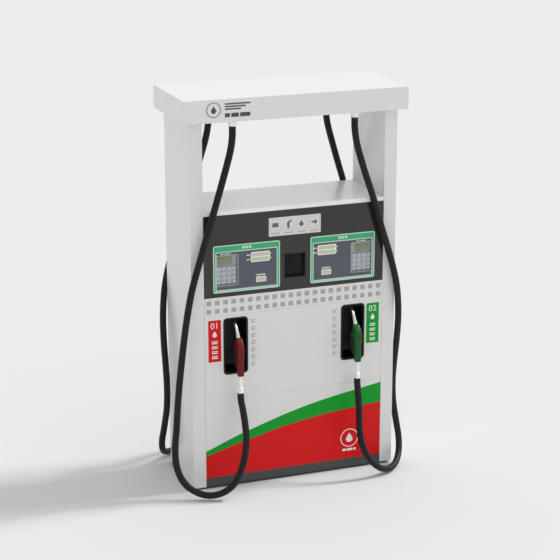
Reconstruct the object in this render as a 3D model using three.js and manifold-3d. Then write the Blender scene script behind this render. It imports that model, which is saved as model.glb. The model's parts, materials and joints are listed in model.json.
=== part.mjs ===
// Tall-frame, double-sided fuel dispenser with four hoses: a header box on two columns, and a cabinet
// between them that holds the pump set, the meters, the display units and four nozzle holsters.
// Millimetres, +Z up. The front faces -Y, and the rear is the front turned half a turn about Z.
import * as THREE from 'three';
import { mergeVertices } from 'three/addons/utils/BufferGeometryUtils.js';
import Module from 'manifold-3d';

const wasm = await Module();
wasm.setup();

// ---- Driving dimensions -------------------------------------------------------------------------
const GAP = 0.3; // clearance between pieces that touch

const FRAME = { clearWidth: 1074, depth: 453 }; // clear width between the columns, and overall depth
const COLUMN = { width: 74, wall: 2 };
const HEADER = { sideOverhang: 44, faceOverhang: 48.5, height: 127, wall: 2.5 }; // overhangs past the columns
const LEVEL = { foot: 12, plinth: 65, lower: 535, middle: 1133, display: 1599, cap: 1623, header: 2123 };
const FOOT = { sideInset: 26, faceInset: 14, plate: 4 };
const PANEL = { sheet: 2, depth: 20, sideGap: 1.3 };
const POST = { x: 20, size: 40 };
const SHELF = {
  meters: 414, meterHalfWidth: 330, control: 1150, controlHalfWidth: 210, halfDepth: 80, plate: 6,
};

const VENT = { columns: 22, pitch: 48.5, width: 28, height: 27, depth: 1, rows: [1054, 1102.5] };
const DISPLAY = { x: 287, z: 1293.5, width: 393, height: 271, corner: 12, lip: 3, lipInset: 7, depth: 42 };
// The key pocket is placed from the display unit's centre.
const KEY_POCKET = { x: -118, z: -9, width: 130, height: 170, corner: 8, depth: 16 };
const KEYPAD = { height: 104, plate: 4, keys: 4, rows: 4, keySize: 17, keyRise: 3, travel: 1.5, inset: 3 };
const CARD_POCKET = { width: 117, height: 131, z: 1274.5, depth: 16 };

const HOLSTER = {
  x: 354, bottom: 676, height: 332, width: 145, corner: 22, rim: 3, rimWidth: 7, depth: 128, wall: 3,
};
const GRIP = { stand: 77.5, rise: 11, width: 34 }; // in front of the panel, and above the holster's foot
const VALVE_BODY = { width: 37 };
const GUARD = { width: 16, thick: 8 };
// The pivot is measured from the grip's centre line and foot.
const LEVER = { pivotBack: 36, pivotRise: 151, boss: 6, width: 14, thick: 6, slotGap: 0.6 };
const SPOUT = { radius: 10.5, bore: 8.5, boreDepth: 45, collar: 13.5, collarLength: 22 };
const SWIVEL = { length: 99.7, endRadius: 14.5, neckRadius: 9.5, hoseEnd: 32, gripEnd: 11 };
const BOOT_LEVER = { width: 60, thick: 6, length: 70, rise: 92, tilt: 32 };

const HOSE = { radius: 19, sides: 8, steps: 38 };
const FITTING = { radius: 24, height: 26, stem: 15 };
const PIPE = { radius: 15, out: 45, riser: 520, headerLift: 62 };

const MOTOR = { x: 170, z: 150, radius: 88, front: -100, back: 140, shaft: 12, pulley: 45 };
const PUMP = { x: -170, width: 240, height: 262, front: -90, back: 130, shaft: 14, pulley: 85 };
const BELT = { y: -148, width: 20, thick: 6, slack: 2, pulleyWidth: 24, shaftEnd: -172 };
const METER = { x: 240, size: 150, height: 150, dial: 35, dialHeight: 60 };
const VALVES = { x: -82, width: 118, depth: 110, height: 90, coil: 16, coilHeight: 50, pitch: 54 };
const CONTROL = { width: 380, depth: 140, height: 300, wall: 3, lid: 6, cableHole: 30 };

// Hose routes as [x, out, z]: from the header fitting down, round the loop and up to the nozzle swivel.
const HOSE_EXIT = { left: -372, right: 341, stand: 23.5 }; // stand is in front of the panel face
const ROUTES = {
  left: [
    [-373, 250, 2035], [-384, 252, 1965], [-428, 258, 1815], [-497, 262, 1594], [-568, 266, 1371],
    [-620, 267, 1195], [-656, 265, 1000], [-686, 259, 760], [-705, 255, 570], [-717, 256, 410],
    [-730, 264, 280], [-727, 284, 180], [-697, 314, 98], [-642, 347, 50], [-577, 379, 30],
    [-508, 404, 42], [-446, 414, 80], [-398, 411, 150], [-365, 398, 240], [-349, 380, 330],
    [-346, 355, 415], [-350, 322, 505], [-353, 312, 532], [-354, 306, 558],
  ],
  right: [
    [343, 250, 2030], [356, 252, 1945], [398, 256, 1802], [453, 259, 1641], [509, 262, 1457],
    [570, 261, 1269], [614, 254, 1100], [637, 233, 930], [645, 203, 775], [645, 175, 630],
    [644, 159, 500], [648, 160, 370], [661, 175, 250], [668, 204, 150], [648, 254, 74],
    [600, 316, 33], [537, 367, 26], [471, 396, 48], [410, 407, 100], [366, 402, 170],
    [346, 391, 245], [342, 376, 320], [348, 355, 405], [352, 328, 487], [354, 314, 522], [354, 306, 556],
  ],
};

// ---- Values that follow from them ---------------------------------------------------------------
const FACE = FRAME.depth / 2;
const INNER = FRAME.clearWidth / 2; // inner face of a column
const OUTER = INNER + COLUMN.width;
const COLUMN_X = INNER + COLUMN.width / 2;
const PANEL_HALF = INNER - PANEL.sideGap;
const HEADER_HALF = OUTER + HEADER.sideOverhang;
const HEADER_DEEP = FACE + HEADER.faceOverhang;
const EXIT_OUT = FACE + HOSE_EXIT.stand;
const GRIP_OUT = FACE + GRIP.stand; // out is the distance from the centre plane
const GRIP_FOOT = HOLSTER.bottom + GRIP.rise;

// ---- Materials ----------------------------------------------------------------------------------
function finish(color, roughness, metalness) {
  return new THREE.MeshStandardMaterial({ color, roughness, metalness });
}
const WHITE_PAINT = finish(0xd9d8d6, 0.45, 0);
const DARK_PAINT = finish(0x44423f, 0.5, 0);
const FOOT_PAINT = finish(0x3a3a39, 0.6, 0);
const HOLSTER_PLASTIC = finish(0x0c0d0e, 0.4, 0);
const DISPLAY_PLASTIC = finish(0x4ba56e, 0.4, 0);
const KEY_METAL = finish(0x9aa0a8, 0.4, 0.6);
const HOSE_RUBBER = finish(0x161616, 0.55, 0);
const WHITE_PLASTIC = finish(0xe6e6e3, 0.4, 0);
const SPOUT_METAL = finish(0xd8d8d8, 0.25, 1);
const LEVER_METAL = finish(0x6b1a1c, 0.4, 0.2);
const SLEEVE = { left: finish(0x7d1f22, 0.5, 0), right: finish(0x1c5226, 0.5, 0) };
const PIPE_STEEL = finish(0xb4b6b8, 0.35, 1);
const CASTING = finish(0x6d747a, 0.6, 0.4);
const MOTOR_PAINT = finish(0x39506b, 0.5, 0.1);

// ---- Solid modelling helpers --------------------------------------------------------------------
function toSolid(geometry) {
  const bare = geometry.clone();
  bare.deleteAttribute('normal');
  bare.deleteAttribute('uv');
  const welded = mergeVertices(bare, 1e-4);
  const at = welded.attributes.position.array;
  const index = [];
  let volume = 0;
  for (let i = 0; i < welded.index.count; i += 3) {
    const [a, b, c] = [0, 1, 2].map((k) => welded.index.getX(i + k));
    if (a === b || b === c || a === c) continue;
    index.push(a, b, c);
    const [p, q, r] = [a, b, c].map((k) => new THREE.Vector3().fromArray(at, 3 * k));
    volume += p.dot(q.cross(r));
  }
  if (volume < 0) index.reverse();
  const mesh = new wasm.Mesh({
    numProp: 3, vertProperties: new Float32Array(at), triVerts: new Uint32Array(index),
  });
  return new wasm.Manifold(mesh);
}

function toGeometry(solid) {
  const mesh = solid.getMesh();
  const geometry = new THREE.BufferGeometry();
  geometry.setAttribute('position', new THREE.BufferAttribute(new Float32Array(mesh.vertProperties), 3));
  geometry.setIndex(new THREE.BufferAttribute(new Uint32Array(mesh.triVerts), 1));
  geometry.computeVertexNormals();
  return geometry;
}

function join(...solids) {
  return solids.reduce((sum, next) => sum.add(next));
}

function cut(solid, ...tools) {
  return tools.reduce((rest, tool) => rest.subtract(tool), solid);
}

// A box from its limits. out0 and out1 are distances from the centre plane towards the viewer.
function box(x0, x1, out0, out1, z0, z1) {
  const geometry = new THREE.BoxGeometry(x1 - x0, out1 - out0, z1 - z0);
  return toSolid(geometry.translate((x0 + x1) / 2, -(out0 + out1) / 2, (z0 + z1) / 2));
}

function centredBox(x, out, z, width, depth, height) {
  return box(x - width / 2, x + width / 2, out - depth / 2, out + depth / 2, z - height / 2, z + height / 2);
}

function roundedShape(x, z, width, height, corner) {
  const [x0, x1, z0, z1] = [x - width / 2, x + width / 2, z - height / 2, z + height / 2];
  const shape = new THREE.Shape();
  shape.absarc(x1 - corner, z0 + corner, corner, -Math.PI / 2, 0);
  shape.absarc(x1 - corner, z1 - corner, corner, 0, Math.PI / 2);
  shape.absarc(x0 + corner, z1 - corner, corner, Math.PI / 2, Math.PI);
  shape.absarc(x0 + corner, z0 + corner, corner, Math.PI, Math.PI * 1.5);
  return shape;
}

// A flat outline in (x, z), thick from out0 to out1.
function plate(shape, out0, out1, curveSegments = 4) {
  const options = { depth: out1 - out0, bevelEnabled: false, curveSegments };
  const geometry = new THREE.ExtrudeGeometry(shape, options);
  return toSolid(geometry.rotateX(Math.PI / 2).translate(0, -out0, 0));
}

// A side outline in (out, z), as wide as width about the plane x.
function profile(shape, x, width, curveSegments = 4) {
  const geometry = new THREE.ExtrudeGeometry(shape, { depth: width, bevelEnabled: false, curveSegments });
  const turn = new THREE.Matrix4().makeBasis(
    new THREE.Vector3(0, -1, 0), new THREE.Vector3(0, 0, 1), new THREE.Vector3(-1, 0, 0));
  return toSolid(geometry.applyMatrix4(turn).translate(x + width / 2, 0, 0));
}

// A cylinder between two points given as [x, out, z].
function rod(from, to, radius, sides = 12, endRadius = radius) {
  const a = new THREE.Vector3(from[0], -from[1], from[2]);
  const b = new THREE.Vector3(to[0], -to[1], to[2]);
  const along = b.clone().sub(a);
  const geometry = new THREE.CylinderGeometry(endRadius, radius, along.length(), sides);
  const up = new THREE.Vector3(0, 1, 0);
  const turn = new THREE.Quaternion().setFromUnitVectors(up, along.clone().normalize());
  const middle = a.add(b).multiplyScalar(0.5);
  return toSolid(geometry.applyQuaternion(turn).translate(middle.x, middle.y, middle.z));
}

function sweep(shape, points, steps, curveSegments = 3) {
  const path = new THREE.CatmullRomCurve3(points.map(([x, out, z]) => new THREE.Vector3(x, -out, z)));
  const options = { steps, extrudePath: path, bevelEnabled: false, curveSegments };
  return toSolid(new THREE.ExtrudeGeometry(shape, options));
}

function circle(radius, sides) {
  const corners = [];
  for (let i = 0; i < sides; i += 1) {
    const angle = (2 * Math.PI * (i + 0.5)) / sides;
    corners.push(new THREE.Vector2(radius * Math.cos(angle), radius * Math.sin(angle)));
  }
  return new THREE.Shape(corners);
}

// A pipe of straight runs with ball corners.
function pipeRun(points, radius) {
  const pieces = [];
  for (let i = 1; i < points.length; i += 1) {
    pieces.push(rod(points[i - 1], points[i], radius, 8));
    if (i < points.length - 1) {
      const [x, out, z] = points[i];
      pieces.push(toSolid(new THREE.SphereGeometry(radius * 1.02, 8, 4).translate(x, -out, z)));
    }
  }
  return join(...pieces);
}

// A sheet-metal pan: a flat face with its edges returned inwards.
function pan(z0, z1, face) {
  const outer = box(-PANEL_HALF, PANEL_HALF, face - PANEL.depth, face, z0, z1);
  const hollow = box(
    -PANEL_HALF + PANEL.sheet, PANEL_HALF - PANEL.sheet, face - PANEL.depth - 1, face - PANEL.sheet,
    z0 + PANEL.sheet, z1 - PANEL.sheet);
  return cut(outer, hollow);
}

const dispenser = new THREE.Group();

function add(group, name, solid, material) {
  const mesh = new THREE.Mesh(toGeometry(solid), material);
  mesh.name = name;
  group.add(mesh);
}

// ---- Frame and casing ---------------------------------------------------------------------------
function column(sign) {
  const x = sign * COLUMN_X;
  const [bottom, top] = [LEVEL.foot + GAP, LEVEL.header - GAP];
  const half = COLUMN.width / 2;
  const outer = box(x - half, x + half, -FACE, FACE, bottom, top);
  const bore = box(
    x - half + COLUMN.wall, x + half - COLUMN.wall,
    -FACE + COLUMN.wall, FACE - COLUMN.wall, bottom - 1, top + 1);
  const pipeHoles = [-PIPE.out, PIPE.out].map((out) => rod(
    [sign * (INNER - 5), out, PIPE.riser],
    [sign * (INNER + COLUMN.wall + 5), out, PIPE.riser], PIPE.radius + 4));
  return cut(outer, bore, ...pipeHoles);
}

function header() {
  const [half, deep] = [HEADER_HALF, HEADER_DEEP];
  const [bottom, top] = [LEVEL.header, LEVEL.header + HEADER.height];
  const outer = box(-half, half, -deep, deep, bottom, top);
  const inside = box(
    -half + HEADER.wall, half - HEADER.wall, -deep + HEADER.wall, deep - HEADER.wall,
    bottom + HEADER.wall, top - HEADER.wall);
  const columnBore = [-COLUMN_X, COLUMN_X].map((x) => centredBox(
    x, 0, bottom, COLUMN.width - 2 * COLUMN.wall, FRAME.depth - 2 * COLUMN.wall, 4 * HEADER.wall));
  const outlets = [1, -1].flatMap((turn) => [HOSE_EXIT.left, HOSE_EXIT.right].map((x) => rod(
    [turn * x, turn * EXIT_OUT, bottom - 10], [turn * x, turn * EXIT_OUT, bottom + 10], PIPE.radius + 2)));
  return cut(outer, inside, ...columnBore, ...outlets);
}

function baseFrame() {
  const foot = box(
    -OUTER + FOOT.sideInset, OUTER - FOOT.sideInset,
    -FACE + FOOT.faceInset, FACE - FOOT.faceInset, 0, LEVEL.foot);
  const plinth = box(-PANEL_HALF, PANEL_HALF, -FACE, FACE, LEVEL.foot - 1, LEVEL.plinth - GAP);
  const tray = box(
    -PANEL_HALF + PANEL.sheet, PANEL_HALF - PANEL.sheet, -FACE + PANEL.sheet, FACE - PANEL.sheet,
    LEVEL.foot + FOOT.plate, LEVEL.plinth + 1);
  const floor = LEVEL.foot + FOOT.plate;
  const post = centredBox(
    POST.x, 0, (floor + SHELF.control) / 2, POST.size, POST.size, SHELF.control - floor + 2);
  const meterShelf = box(
    -SHELF.meterHalfWidth, SHELF.meterHalfWidth, -SHELF.halfDepth, SHELF.halfDepth,
    SHELF.meters, SHELF.meters + SHELF.plate);
  const controlShelf = box(
    -SHELF.controlHalfWidth, SHELF.controlHalfWidth, -SHELF.halfDepth, SHELF.halfDepth,
    SHELF.control, SHELF.control + SHELF.plate);
  return join(cut(join(foot, plinth), tray), post, meterShelf, controlShelf);
}

function cabinetTop() {
  const [half, deep] = [PANEL_HALF, FACE];
  const outer = box(-half, half, -deep, deep, LEVEL.display + GAP, LEVEL.cap);
  const hollow = box(
    -half + PANEL.sheet, half - PANEL.sheet, -deep + PANEL.sheet, deep - PANEL.sheet,
    LEVEL.display - 1, LEVEL.cap - PANEL.sheet);
  return cut(outer, hollow);
}

function displayPanel() {
  const [z0, z1] = [LEVEL.middle + GAP, LEVEL.display - GAP];
  const windows = [-DISPLAY.x, DISPLAY.x].map((x) => plate(
    roundedShape(x, DISPLAY.z, DISPLAY.width - 2 * DISPLAY.lipInset, DISPLAY.height - 2 * DISPLAY.lipInset,
      DISPLAY.corner), FACE - PANEL.depth - 5, FACE + 5, 3));
  const [half, tall] = [CARD_POCKET.width / 2, CARD_POCKET.height / 2];
  const wall = PANEL.sheet;
  const pocketShell = box(
    -half - wall, half + wall, FACE - CARD_POCKET.depth - wall, FACE - 1,
    CARD_POCKET.z - tall - wall, CARD_POCKET.z + tall + wall);
  const pocket = box(
    -half, half, FACE - CARD_POCKET.depth, FACE + 5,
    CARD_POCKET.z - tall, CARD_POCKET.z + tall);
  return cut(join(pan(z0, z1, FACE), pocketShell), pocket, ...windows);
}

function middlePanel() {
  const [z0, z1] = [LEVEL.lower + GAP, LEVEL.middle - GAP];
  const inset = HOLSTER.rimWidth;
  const openings = [-HOLSTER.x, HOLSTER.x].map((x) => plate(
    roundedShape(x, HOLSTER.bottom + HOLSTER.height / 2,
      HOLSTER.width - 2 * inset, HOLSTER.height - 2 * inset,
      HOLSTER.corner - inset / 2), FACE - PANEL.depth - 5, FACE + 5, 3));
  const vents = [];
  const first = (-(VENT.columns - 1) * VENT.pitch) / 2;
  for (const z of VENT.rows) {
    for (let i = 0; i < VENT.columns; i += 1) {
      vents.push(centredBox(first + i * VENT.pitch, FACE, z, VENT.width, 2 * VENT.depth, VENT.height));
    }
  }
  return cut(pan(z0, z1, FACE), ...openings, ...vents);
}

// ---- Display units, keypads, holsters -----------------------------------------------------------
function pocketCentre(sign) {
  return { x: sign * DISPLAY.x + sign * -KEY_POCKET.x, z: DISPLAY.z + KEY_POCKET.z };
}

function displayUnit(sign) {
  const x = sign * DISPLAY.x;
  const lip = plate(
    roundedShape(x, DISPLAY.z, DISPLAY.width, DISPLAY.height, DISPLAY.corner),
    FACE + GAP, FACE + DISPLAY.lip, 3);
  const side = DISPLAY.lipInset + GAP;
  const body = plate(
    roundedShape(x, DISPLAY.z, DISPLAY.width - 2 * side, DISPLAY.height - 2 * side, DISPLAY.corner - GAP),
    FACE - DISPLAY.depth, FACE + 1, 3);
  const at = pocketCentre(sign);
  const pocket = plate(
    roundedShape(at.x, at.z, KEY_POCKET.width, KEY_POCKET.height, KEY_POCKET.corner),
    FACE + DISPLAY.lip - KEY_POCKET.depth, FACE + DISPLAY.lip + 5, 2);
  return cut(join(lip, body), pocket);
}

function keypad(sign) {
  const at = pocketCentre(sign);
  const floor = FACE + DISPLAY.lip - KEY_POCKET.depth + KEYPAD.travel + 2 * GAP;
  const width = KEY_POCKET.width - 2 * KEYPAD.inset;
  const z = at.z - KEY_POCKET.height / 2 + KEYPAD.inset + KEYPAD.height / 2;
  const mat = box(
    at.x - width / 2, at.x + width / 2, floor, floor + KEYPAD.plate,
    z - KEYPAD.height / 2, z + KEYPAD.height / 2);
  const keys = [];
  for (let row = 0; row < KEYPAD.rows; row += 1) {
    for (let column = 0; column < KEYPAD.keys; column += 1) {
      const kx = at.x + (width / KEYPAD.keys) * (column - (KEYPAD.keys - 1) / 2);
      const kz = z + (KEYPAD.height / KEYPAD.rows) * (row - (KEYPAD.rows - 1) / 2);
      const half = KEYPAD.keySize / 2;
      keys.push(box(
        kx - half, kx + half, floor + 1, floor + KEYPAD.plate + KEYPAD.keyRise, kz - half, kz + half));
    }
  }
  return join(mat, ...keys);
}

function holster(sign) {
  const x = sign * HOLSTER.x;
  const z = HOLSTER.bottom + HOLSTER.height / 2;
  const inset = HOLSTER.rimWidth + GAP;
  const rim = plate(
    roundedShape(x, z, HOLSTER.width, HOLSTER.height, HOLSTER.corner), FACE + GAP, FACE + HOLSTER.rim, 4);
  const shell = plate(
    roundedShape(x, z, HOLSTER.width - 2 * inset, HOLSTER.height - 2 * inset, HOLSTER.corner - inset / 2),
    FACE - HOLSTER.depth, FACE + 1, 4);
  const inside = inset + HOLSTER.wall;
  const recess = plate(
    roundedShape(x, z, HOLSTER.width - 2 * inside, HOLSTER.height - 2 * inside, HOLSTER.corner - inside / 2),
    FACE - HOLSTER.depth + HOLSTER.wall, FACE + HOLSTER.rim + 5, 4);
  return cut(join(rim, shell), recess);
}

// The switch lever hangs from the holster's back wall and slopes forward and down.
function bootLever(sign) {
  const x = sign * HOLSTER.x;
  const out = FACE - HOLSTER.depth + HOLSTER.wall + BOOT_LEVER.thick / 2 + 1;
  const z = HOLSTER.bottom + BOOT_LEVER.rise;
  const tilt = THREE.MathUtils.degToRad(BOOT_LEVER.tilt);
  const end = [x, out + BOOT_LEVER.length * Math.sin(tilt), z - BOOT_LEVER.length * Math.cos(tilt)];
  const half = BOOT_LEVER.thick / 2;
  const blade = new THREE.Shape([
    new THREE.Vector2(out - half, z), new THREE.Vector2(end[1] - half, end[2]),
    new THREE.Vector2(end[1] + half, end[2]), new THREE.Vector2(out + half, z),
  ]);
  const pivot = rod([x - BOOT_LEVER.width / 2, out, z], [x + BOOT_LEVER.width / 2, out, z], half, 10);
  return join(profile(blade, x, BOOT_LEVER.width), pivot);
}

// ---- Nozzle -------------------------------------------------------------------------------------
// Nozzle points are [back, rise]: how far behind the grip's centre line, and how far above its foot.
function nozzlePoint(x, [back, rise]) {
  return [x, GRIP_OUT - back, GRIP_FOOT + rise];
}

function sideShape(corners) {
  return new THREE.Shape(corners.map(([back, rise]) => new THREE.Vector2(GRIP_OUT - back, GRIP_FOOT + rise)));
}

function strip(width, thick) {
  const [half, edge] = [width / 2, thick / 2];
  return new THREE.Shape([
    new THREE.Vector2(-half, -edge), new THREE.Vector2(half, -edge),
    new THREE.Vector2(half, edge), new THREE.Vector2(-half, edge),
  ]);
}

function nozzleBody(x) {
  const grip = sideShape([[17, 0], [-17, 0], [-19, 60], [-18, 128], [20, 128], [19, 60]]);
  const valve = sideShape([
    [21, 105], [-18, 105], [-23, 140], [-22, 165], [-14, 185], [4, 203], [20, 218],
    [48, 202], [42, 179], [42, 151],
  ]);
  const guardLine = [[32, 175], [64, 175], [86, 156], [93, 113], [87, 61], [62, 25], [12, 13]];
  const guard = sweep(strip(GUARD.width, GUARD.thick), guardLine.map((at) => nozzlePoint(x, at)), 14);
  const slot = LEVER.width / 2 + LEVER.slotGap;
  const slotBox = (back) => box(
    x - slot, x + slot, GRIP_OUT - back, GRIP_OUT - 21, GRIP_FOOT + 125, GRIP_FOOT + 165);
  const body = cut(profile(valve, x, VALVE_BODY.width), slotBox(64));
  return cut(join(profile(grip, x, GRIP.width), body, guard), slotBox(42));
}

function nozzleSpout(x) {
  const line = [[34.7, 211.2], [48, 235], [66, 260], [92, 281], [124, 298]];
  const tube = sweep(circle(SPOUT.radius, 10), line.map((at) => nozzlePoint(x, at)), 7);
  const [lean, up] = [0.5, 0.87]; // direction of the spout where it leaves the body
  const root = [34.4, 210.7];
  const collar = rod(
    nozzlePoint(x, root),
    nozzlePoint(x, [root[0] + SPOUT.collarLength * lean, root[1] + SPOUT.collarLength * up]),
    SPOUT.collar, 14, SPOUT.radius + 1);
  const bore = rod(
    nozzlePoint(x, [124 - SPOUT.boreDepth * 0.88, 298 - SPOUT.boreDepth * 0.47]),
    nozzlePoint(x, [134, 303.3]), SPOUT.bore, 10);
  return cut(join(tube, collar), bore);
}

function triggerLever(x) {
  const half = LEVER.width / 2;
  const pivot = [LEVER.pivotBack, LEVER.pivotRise];
  const line = [pivot, [48, 128], [54, 93], [49, 65], [41, 45]];
  const blade = sweep(strip(LEVER.width, LEVER.thick), line.map((at) => nozzlePoint(x, at)), 8);
  const boss = rod(nozzlePoint(x - half, pivot), nozzlePoint(x + half, pivot), LEVER.boss, 12);
  return join(blade, boss);
}

function hoseSwivel(x) {
  const top = GRIP_FOOT - GAP;
  const bottom = top - SWIVEL.length;
  const neck = (z0, z1, r0, r1) => rod([x, GRIP_OUT, z0], [x, GRIP_OUT, z1], r0, 16, r1);
  return join(
    neck(bottom, bottom + SWIVEL.hoseEnd, SWIVEL.endRadius + 2, SWIVEL.endRadius),
    neck(bottom + SWIVEL.hoseEnd - 1, top - SWIVEL.gripEnd + 1, SWIVEL.neckRadius, SWIVEL.neckRadius),
    neck(top - SWIVEL.gripEnd, top, SWIVEL.endRadius - 2, SWIVEL.endRadius));
}

// ---- Hoses and supply pipes ---------------------------------------------------------------------
function hose(hand, sign) {
  const top = LEVEL.header - GAP - FITTING.height - GAP;
  const bottom = GRIP_FOOT - GAP - SWIVEL.length - GAP;
  const [x, exit] = [sign * HOLSTER.x, HOSE_EXIT[hand]];
  const route = [
    [exit, EXIT_OUT, top], [exit, EXIT_OUT, top - 12],
    ...ROUTES[hand],
    [x, GRIP_OUT, bottom - 6], [x, GRIP_OUT, bottom],
  ];
  return sweep(circle(HOSE.radius, HOSE.sides), route, HOSE.steps);
}

function supplyPipe(hand, sign) {
  const start = sign * (METER.x + METER.size / 2 + GAP);
  const lift = LEVEL.header + PIPE.headerLift;
  const exit = HOSE_EXIT[hand];
  const run = pipeRun([
    [start, PIPE.out, PIPE.riser], [sign * COLUMN_X, PIPE.out, PIPE.riser], [sign * COLUMN_X, PIPE.out, lift],
    [exit, PIPE.out, lift], [exit, EXIT_OUT, lift], [exit, EXIT_OUT, LEVEL.header - GAP - 2],
  ], PIPE.radius);
  const bottom = LEVEL.header - GAP - FITTING.height;
  const fitting = rod(
    [exit, EXIT_OUT, bottom], [exit, EXIT_OUT, LEVEL.header - GAP], FITTING.radius - 2, 16, FITTING.radius);
  return join(run, fitting);
}

// ---- Pump set, meters and controls --------------------------------------------------------------
const FLOOR = LEVEL.foot + FOOT.plate + GAP;

function motor() {
  const shell = rod([MOTOR.x, -MOTOR.back, MOTOR.z], [MOTOR.x, -MOTOR.front, MOTOR.z], MOTOR.radius, 20);
  const foot = box(MOTOR.x - 80, MOTOR.x + 80, -MOTOR.back + 40, -MOTOR.front - 40, FLOOR, MOTOR.z - 60);
  const terminalBox = centredBox(MOTOR.x, -20, MOTOR.z + MOTOR.radius + 10, 90, 90, 60);
  return join(shell, foot, terminalBox);
}

function pulley(x, shaftRadius, radius, start) {
  const z = MOTOR.z;
  const shaft = rod([x, start - GAP, z], [x, -BELT.shaftEnd, z], shaftRadius, 12);
  const rim = rod(
    [x, -BELT.y - BELT.pulleyWidth / 2, z], [x, -BELT.y + BELT.pulleyWidth / 2, z], radius, 36);
  return join(shaft, rim);
}

function beltLoop(radiusA, radiusB) {
  const span = MOTOR.x - PUMP.x;
  const lean = Math.acos((radiusB - radiusA) / span); // angle of the tangent points from the centre line
  const shape = new THREE.Shape();
  shape.absarc(PUMP.x, MOTOR.z, radiusB, lean, 2 * Math.PI - lean);
  shape.absarc(MOTOR.x, MOTOR.z, radiusA, -lean, lean);
  return shape;
}

function belt() {
  const [r0, r1] = [MOTOR.pulley + BELT.slack, PUMP.pulley + BELT.slack];
  const [out0, out1] = [-BELT.y - BELT.width / 2, -BELT.y + BELT.width / 2];
  const outer = plate(beltLoop(r0 + BELT.thick, r1 + BELT.thick), out0, out1, 12);
  const inner = plate(beltLoop(r0, r1), out0 - 5, out1 + 5, 12);
  return cut(outer, inner);
}

function twinPump() {
  const half = PUMP.width / 2;
  const block = box(PUMP.x - half, PUMP.x + half, -PUMP.back, -PUMP.front, FLOOR, FLOOR + PUMP.height - 60);
  const separators = [-60, 60].map((dx) => rod(
    [PUMP.x + dx, -20, FLOOR + PUMP.height - 62], [PUMP.x + dx, -20, FLOOR + PUMP.height], 48, 16, 42));
  return join(block, ...separators);
}

function meter(sign) {
  const x = sign * METER.x;
  const bottom = SHELF.meters + SHELF.plate + GAP;
  const block = centredBox(x, 0, bottom + METER.height / 2, METER.size, METER.size, METER.height);
  const top = bottom + METER.height;
  const pulser = rod([x, 0, top - 1], [x, 0, top + METER.dialHeight], METER.dial, 16);
  return join(block, pulser);
}

function valveBlock() {
  const bottom = SHELF.meters + SHELF.plate + GAP;
  const block = centredBox(
    VALVES.x, 0, bottom + VALVES.height / 2, VALVES.width, VALVES.depth, VALVES.height);
  const coils = [-1, 1].flatMap((i) => [-1, 1].map((j) => {
    const [x, out, z] = [VALVES.x + (i * VALVES.pitch) / 2, (j * VALVES.pitch) / 2, bottom + VALVES.height];
    return rod([x, out, z - 1], [x, out, z + VALVES.coilHeight], VALVES.coil, 12);
  }));
  return join(block, ...coils);
}

function controlBox() {
  const bottom = SHELF.control + SHELF.plate + GAP;
  const [middle, wall] = [bottom + CONTROL.height / 2, CONTROL.wall];
  const body = centredBox(0, 0, middle, CONTROL.width, CONTROL.depth, CONTROL.height);
  const inside = centredBox(
    0, 0, middle, CONTROL.width - 2 * wall, CONTROL.depth - 2 * wall, CONTROL.height - 2 * wall);
  const lid = centredBox(
    0, 0, bottom + CONTROL.height + CONTROL.lid / 2 - 0.5,
    CONTROL.width + 10, CONTROL.depth + 10, CONTROL.lid + 1);
  const cableX = CONTROL.width / 4;
  const cableHole = rod([cableX, 0, bottom - 5], [cableX, 0, bottom + wall + 5], CONTROL.cableHole, 12);
  return cut(join(body, lid), inside, cableHole);
}

// ---- Assembly -----------------------------------------------------------------------------------
add(dispenser, 'header_box', header(), WHITE_PAINT);
add(dispenser, 'left_column', column(-1), WHITE_PAINT);
add(dispenser, 'right_column', column(1), WHITE_PAINT);
add(dispenser, 'base_frame', baseFrame(), FOOT_PAINT);
add(dispenser, 'cabinet_top', cabinetTop(), WHITE_PAINT);
add(dispenser, 'motor', motor(), MOTOR_PAINT);
add(dispenser, 'motor_pulley', pulley(MOTOR.x, MOTOR.shaft, MOTOR.pulley, -MOTOR.front + GAP * 2), CASTING);
add(dispenser, 'twin_pump', twinPump(), CASTING);
add(dispenser, 'pump_pulley', pulley(PUMP.x, PUMP.shaft, PUMP.pulley, -PUMP.front + GAP * 2), CASTING);
add(dispenser, 'drive_belt', belt(), HOSE_RUBBER);
add(dispenser, 'left_meter', meter(-1), CASTING);
add(dispenser, 'right_meter', meter(1), CASTING);
add(dispenser, 'valve_block', valveBlock(), CASTING);
add(dispenser, 'control_box', controlBox(), PIPE_STEEL);

for (const side of ['front', 'rear']) {
  const face = new THREE.Group();
  face.rotation.z = side === 'rear' ? Math.PI : 0;
  dispenser.add(face);
  add(face, `${side}_display_panel`, displayPanel(), DARK_PAINT);
  add(face, `${side}_middle_panel`, middlePanel(), WHITE_PAINT);
  add(face, `${side}_lower_panel`, pan(LEVEL.plinth, LEVEL.lower - GAP, FACE), WHITE_PAINT);
  for (const [hand, sign] of [['left', -1], ['right', 1]]) {
    const name = `${side}_${hand}`;
    const x = sign * HOLSTER.x;
    add(face, `${name}_display_unit`, displayUnit(sign), DISPLAY_PLASTIC);
    add(face, `${name}_keypad`, keypad(sign), KEY_METAL);
    add(face, `${name}_holster`, holster(sign), HOLSTER_PLASTIC);
    add(face, `${name}_boot_lever`, bootLever(sign), HOLSTER_PLASTIC);
    add(face, `${name}_nozzle_body`, nozzleBody(x), SLEEVE[hand]);
    add(face, `${name}_spout`, nozzleSpout(x), SPOUT_METAL);
    add(face, `${name}_trigger`, triggerLever(x), LEVER_METAL);
    add(face, `${name}_swivel`, hoseSwivel(x), WHITE_PLASTIC);
    add(face, `${name}_hose`, hose(hand, sign), HOSE_RUBBER);
    add(face, `${name}_supply_pipe`, supplyPipe(hand, sign), PIPE_STEEL);
  }
}

export default dispenser;
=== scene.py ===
import json
import math

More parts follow.
